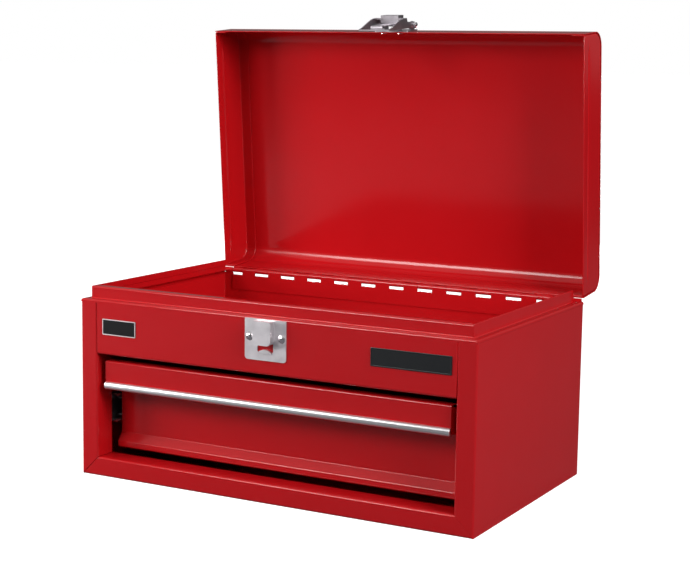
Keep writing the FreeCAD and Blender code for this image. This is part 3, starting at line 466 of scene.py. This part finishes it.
def walled(thing):
    """Makes a sheet of a middle surface: its doubled places are merged, its faces turned one way and
    half the sheet's thickness laid on either side."""
    built = bmesh.new()
    built.from_mesh(thing.data)
    bmesh.ops.remove_doubles(built, verts=built.verts, dist=1e-6)
    bmesh.ops.recalc_face_normals(built, faces=built.faces)
    built.to_mesh(thing.data)
    built.free()
    wall = thing.modifiers.new("wall", "SOLIDIFY")
    wall.thickness, wall.offset, wall.use_even_offset = sheet * 0.001, 0.0, True
    wall.use_rim = True


cap = lid_cap()
for side, surface in (("right", cap), ("left", mirrored(cap))):
    end = piece("lid_end_cap_" + side, "lid", red_paint, [opened(surface)], ["lid_end_" + side])
    walled(end)


# ---- Hinge, tray, drawer pan and runner brackets ---------------------------------------------------
# Sheet pieces that keep the solid's own shape: the piano hinge's two rolled leaves, the tray that is
# the compartment's floor, the drawer's pan and the channels that carry the runners, all coated.

leaf_round, bevel_parts, bevel_angle = 0.2, 2, math.radians(35)


def coated(node, material, edge=0.0):
    """Gives a node its material and, where `edge` is a width in mm, rounds its sharp edges."""
    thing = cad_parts[node]
    thing.data.materials.clear()
    thing.data.materials.append(material)
    if edge:
        rounding = thing.modifiers.new("edges", "BEVEL")
        rounding.width, rounding.segments = edge * 0.001, bevel_parts
        rounding.limit_method, rounding.angle_limit = "ANGLE", bevel_angle
        thing.modifiers.new("normals", "WEIGHTED_NORMAL").keep_sharp = False


for node in ("top_tray", "drawer_pan", "runner_bracket_left", "runner_bracket_right"):
    coated(node, red_paint)
for node in ("hinge_leaf_case", "hinge_leaf_lid"):
    coated(node, red_paint, leaf_round)


# ---- Plated steel ----------------------------------------------------------------------------------
# Nickel plate over stamped steel: worn on the catch, satin on the keeper and the handle's saddles,
# bright on rivets, catch pin and bail. Runners, cages and hinge pin are bright-zinc steel.

def plated(name, low, high, smooth, rough):
    """Plated steel: colour between two hexes and roughness between two values, by fine cloudy noise
    of 6 mm; slow waves of 16 mm from the press and faint rolling marks of 0.6 mm as bump."""
    material, tree, shader, here = new_material(name)
    shader.inputs["Metallic"].default_value = 1.0
    cloud = add(tree, "ShaderNodeTexNoise", {"Vector": here, "Scale": 1 / 0.006, "Detail": 3.0})
    tone = add(tree, "ShaderNodeMix", {"Factor": cloud.outputs["Fac"]}, data_type="RGBA")
    tone.inputs["A"].default_value = linear(low)
    tone.inputs["B"].default_value = linear(high)
    matt = add(tree, "ShaderNodeMapRange", {"Value": cloud.outputs["Fac"], "To Min": smooth,
                                            "To Max": rough})
    grain = add(tree, "ShaderNodeTexNoise", {"Vector": here, "Scale": 1 / 0.0006, "Detail": 2.0})
    press = add(tree, "ShaderNodeTexNoise", {"Vector": here, "Scale": 1 / 0.016, "Detail": 0.0})
    wavy = add(tree, "ShaderNodeBump", {"Height": press.outputs["Fac"], "Distance": 0.0006,
                                        "Strength": 1.0})
    marks = add(tree, "ShaderNodeBump", {"Height": grain.outputs["Fac"], "Distance": 0.000003,
                                         "Strength": 1.0, "Normal": wavy.outputs["Normal"]})
    tree.links.new(tone.outputs["Result"], shader.inputs["Base Color"])
    tree.links.new(matt.outputs["Result"], shader.inputs["Roughness"])
    tree.links.new(marks.outputs["Normal"], shader.inputs["Normal"])
    return material


# Worn nickel gives the catch a dull mid grey, darker than the keeper; bright nickel gives the rivets
# and the bail hard white glints; satin nickel is pale and even; zinc is a cooler, flatter grey; and
# the balls are close to mirrors.
worn_plate = plated("worn_nickel_plate", "#a09a9f", "#c2bcc2", 0.3, 0.42)
bright_plate = plated("bright_nickel_plate", "#e4dee2", "#f2eef0", 0.14, 0.22)
stamped_plate = plated("stamped_nickel_plate", "#e4dee2", "#f2eef0", 0.4, 0.5)
zinc_plate = plated("bright_zinc_plate", "#b9bcc0", "#cfd1d4", 0.26, 0.4)
bearing_steel = plated("polished_bearing_steel", "#c9cacc", "#dddee0", 0.08, 0.16)

for node in ("keeper_rivets", "latch_rivets", "latch_pin", "handle_bail"):
    coated(node, bright_plate)
for node in ("latch_keeper_plate", "handle_bracket_left", "handle_bracket_right"):
    coated(node, stamped_plate, edge_round)
for node in ("latch_plate", "latch_lever", "latch_hook"):
    coated(node, worn_plate, edge_round)
for node in ("hinge_pin", "runner_case_left", "runner_case_right", "runner_drawer_left",
             "runner_drawer_right", "ball_cage_left", "ball_cage_right"):
    coated(node, zinc_plate)
for node in ("runner_balls_left", "runner_balls_right"):
    coated(node, bearing_steel)


# ---- Name plates -----------------------------------------------------------------------------------
# Two plates stuck to the fascia, left bare: the left one black with a thin silver rim, the right one
# dark grey with a rim of its own grey. Printed polyester over a foam pad, satin.

def satin(name, low, high, rough):
    """Printed satin plastic: two close tones in a fine 1 mm mottle, with the same mottle as bump."""
    material, tree, shader, here = new_material(name)
    mottle = add(tree, "ShaderNodeTexNoise", {"Vector": here, "Scale": 1 / 0.001, "Detail": 2.0})
    tone = add(tree, "ShaderNodeMix", {"Factor": mottle.outputs["Fac"]}, data_type="RGBA")
    tone.inputs["A"].default_value = linear(low)
    tone.inputs["B"].default_value = linear(high)
    grain = add(tree, "ShaderNodeBump", {"Height": mottle.outputs["Fac"], "Distance": 0.000004,
                                         "Strength": 1.0})
    tree.links.new(tone.outputs["Result"], shader.inputs["Base Color"])
    tree.links.new(grain.outputs["Normal"], shader.inputs["Normal"])
    shader.inputs["Roughness"].default_value = rough
    return material


# Black and dark grey faces stay deep against the red; the silver border reads as a thin bright line.
black_print = satin("black_printed_plastic", "#060607", "#0b0b0d", 0.3)
grey_print = satin("grey_printed_plastic", "#151719", "#1c1e20", 0.35)
silver_print = satin("silver_printed_plastic", "#cfc2c4", "#ddd2d3", 0.4)


plate_front, plate_corner, rim_high, soft_edge = -122.3, 0.8, 0.25, 0.1
corner_rows, rim_rows = 6, 7


def rounded_loop(x0, x1, z0, z1, corner):
    """Rectangle with round corners, counter-clockwise from its lower left corner: each corner is its
    own centre +- (corner cos a, corner sin a)."""
    a = np.linspace(0, math.pi / 2, corner_rows)
    c, s = corner * np.cos(a), corner * np.sin(a)
    return np.concatenate([
        np.stack([x0 + corner - s, z0 + corner - c], 1)[::-1],
        np.stack([x1 - corner + s, z0 + corner - c], 1),
        np.stack([x1 - corner + c, z1 - corner + s], 1),
        np.stack([x0 + corner - s, z1 - corner + c], 1)])


def name_plate(side, x0, x1, z0, z1, rim_print, face_print, rim_wide):
    """Plate with a face a little behind its raised rim. The rim is a half-round loop: from outline to
    inner outline by (1 - cos a)/2, and out by rim_high * sin a."""
    outline_loop = rounded_loop(x0, x1, z0, z1, plate_corner)
    inner_loop = rounded_loop(x0 + rim_wide, x1 - rim_wide, z0 + rim_wide, z1 - rim_wide,
                              plate_corner / 2)
    back_slab = slab(outline_loop, plate_front + rim_high, front, "y", soft_edge)
    piece(side + "_plate_face", "case", face_print, [back_slab], ["badge_" + side])
    a = np.linspace(0, math.pi, rim_rows)
    across, rise = (1 - np.cos(a)) / 2, np.sin(a)
    rings = outline_loop[None] + (inner_loop - outline_loop)[None] * across[:, None, None]
    depth = plate_front + rim_high - rim_high * rise
    crest = np.stack([rings[..., 0], np.broadcast_to(depth[:, None], rings.shape[:2]), rings[..., 1]], -1)
    count, size = crest.shape[:2]
    k = np.arange(size)
    row = np.arange(count)[:, None] * size
    after, ahead = (row + size) % (count * size), (k + 1) % size
    faces = np.stack([row + k, after + k, after + ahead, row + ahead], -1).reshape(-1, 4)
    piece(side + "_plate_rim", "case", rim_print, [(crest.reshape(-1, 3), faces)])


name_plate("left", -175.4, -138.4, 134.2, 149.0, silver_print, black_print, 0.9)
name_plate("right", 102.7, 177.7, 134.7, 150.7, grey_print, grey_print, 1.2)


# ---- Floor, background, lamps and camera -----------------------------------------------------------
# A pale studio floor that runs out of sight and a white background behind it. Soft lamps: a low key
# on the left, a higher one in front, a tall one on the right and a low wide one for the back.

# The floor gives the eye a plain white sheet that keeps the box's shadow, and the box a dark enough
# neighbour that its lower faces don't haze over: white for camera rays only, grey for the others.
floor_material, tree, shader, here = new_material("pale_studio_floor")
rays = add(tree, "ShaderNodeLightPath")
far = add(tree, "ShaderNodeVectorMath", {0: here}, operation="LENGTH")
white = add(tree, "ShaderNodeMapRange", {"Value": far.outputs["Value"], "From Min": 0.3, "From Max": 1.6,
                                         "To Min": 0.82, "To Max": 1.0})
glow = add(tree, "ShaderNodeMath", {0: rays.outputs["Is Camera Ray"], 1: white.outputs["Result"]},
           operation="MULTIPLY")
speck = add(tree, "ShaderNodeTexNoise", {"Vector": here, "Scale": 3.0, "Detail": 2.0})
pale = add(tree, "ShaderNodeMix", {"Factor": speck.outputs["Fac"]}, data_type="RGBA")
pale.inputs["A"].default_value = linear("#bcbdc0")
pale.inputs["B"].default_value = linear("#c2c3c6")
cool = add(tree, "ShaderNodeMix", {"Factor": rays.outputs["Is Camera Ray"], "B": pale.outputs["Result"]},
           data_type="RGBA")
cool.inputs["A"].default_value = linear("#717276")
tree.links.new(cool.outputs["Result"], shader.inputs["Base Color"])
shader.inputs["Roughness"].default_value = 0.9
shader.inputs["Specular IOR Level"].default_value = 0.0
shader.inputs["Emission Color"].default_value = (1, 1, 1, 1)
tree.links.new(glow.outputs[0], shader.inputs["Emission Strength"])
reach = 30.0
floor_mesh = bpy.data.meshes.new("studio_floor")
floor_corners = [(-reach, -reach, 0), (reach, -reach, 0), (reach, reach, 0), (-reach, reach, 0)]
floor_mesh.from_pydata(floor_corners, [], [(0, 1, 2, 3)])
floor_mesh.materials.append(floor_material)
floor = bpy.data.objects.new("studio_floor", floor_mesh)
bpy.context.scene.collection.objects.link(floor)

# The background: white to the camera and to transmission rays, dim as a light. Reflections see it
# dark near the horizon and lighter above, which gives the edges a dark line and the tops a sheen.
world = bpy.data.worlds.new("studio")
bpy.context.scene.world = world
world.use_nodes = True
tree = world.node_tree
sky = tree.nodes["Background"]
sky.inputs["Color"].default_value = (1, 1, 1, 1)
rays = add(tree, "ShaderNodeLightPath")
way = add(tree, "ShaderNodeSeparateXYZ", {"Vector": add(tree, "ShaderNodeTexCoord").outputs["Generated"]})
above = add(tree, "ShaderNodeMapRange", {"Value": way.outputs["Z"], "From Min": 0.35, "From Max": 0.75,
                                         "To Min": 0.15, "To Max": 0.6})
sheen = add(tree, "ShaderNodeMix", {"Factor": rays.outputs["Is Glossy Ray"], "A": 0.06,
                                    "B": above.outputs["Result"]})
plain = add(tree, "ShaderNodeMath", {0: rays.outputs["Is Camera Ray"],
                                     1: rays.outputs["Is Transmission Ray"]}, operation="MAXIMUM")
final = add(tree, "ShaderNodeMix", {"Factor": plain.outputs[0], "A": sheen.outputs["Result"], "B": 1.0})
tree.links.new(final.outputs["Result"], sky.inputs["Strength"])


def lamp(name, place, target, wide, tall, power):
    """Soft rectangular lamp at a place, turned to face the target."""
    light = bpy.data.lights.new(name, "AREA")
    light.shape, light.size, light.size_y, light.energy = "RECTANGLE", wide, tall, power
    holder = bpy.data.objects.new(name, light)
    bpy.context.scene.collection.objects.link(holder)
    way = Vector(target) - Vector(place)
    holder.location = place
    holder.rotation_euler = way.to_track_quat("-Z", "Y").to_euler()


box_middle = (0, 0, 0.18)
lamp("key_lamp", (-1.15, -0.61, 0.4), box_middle, 0.5, 0.5, 12)
lamp("front_lamp", (-0.8, -1.45, 1.0), box_middle, 0.6, 0.6, 12)
lamp("right_lamp", (1.68, -0.55, 1.09), box_middle, 0.6, 1.2, 35)
lamp("back_lamp", (-0.5, 1.9, 0.22), (0, 0, 0.2), 1.2, 0.3, 20)

# The camera as it was fitted to the photograph's corners; its focal length is in pixels of a picture
# `picture_wide` across. Azimuth is from -Y towards +X, and roll is about the view.
picture_wide, focal_pixels, sensor = 690, 1603.536, 36.0
camera_place = (0.713135, -1.290045, 0.395294)
azimuth, elevation, roll = (math.radians(v) for v in (28.556, 8.167, 0.827))
camera_data = bpy.data.cameras.new("camera")
camera_data.sensor_width, camera_data.lens = sensor, sensor * focal_pixels / picture_wide
camera_data.clip_end = 100
camera = bpy.data.objects.new("camera", camera_data)
bpy.context.scene.collection.objects.link(camera)
behind_way = Vector((math.sin(azimuth) * math.cos(elevation), -math.cos(azimuth) * math.cos(elevation),
                     math.sin(elevation)))
right_way = (-behind_way).cross(Vector((0, 0, 1))).normalized()
up_way = right_way.cross(-behind_way)
x_way = right_way * math.cos(roll) + up_way * math.sin(roll)
y_way = up_way * math.cos(roll) - right_way * math.sin(roll)
camera.matrix_world = Matrix.Translation(camera_place) @ Matrix(
    (x_way, y_way, behind_way)).transposed().to_4x4()
bpy.context.scene.camera = camera
bpy.context.scene.view_settings.view_transform = "Standard"
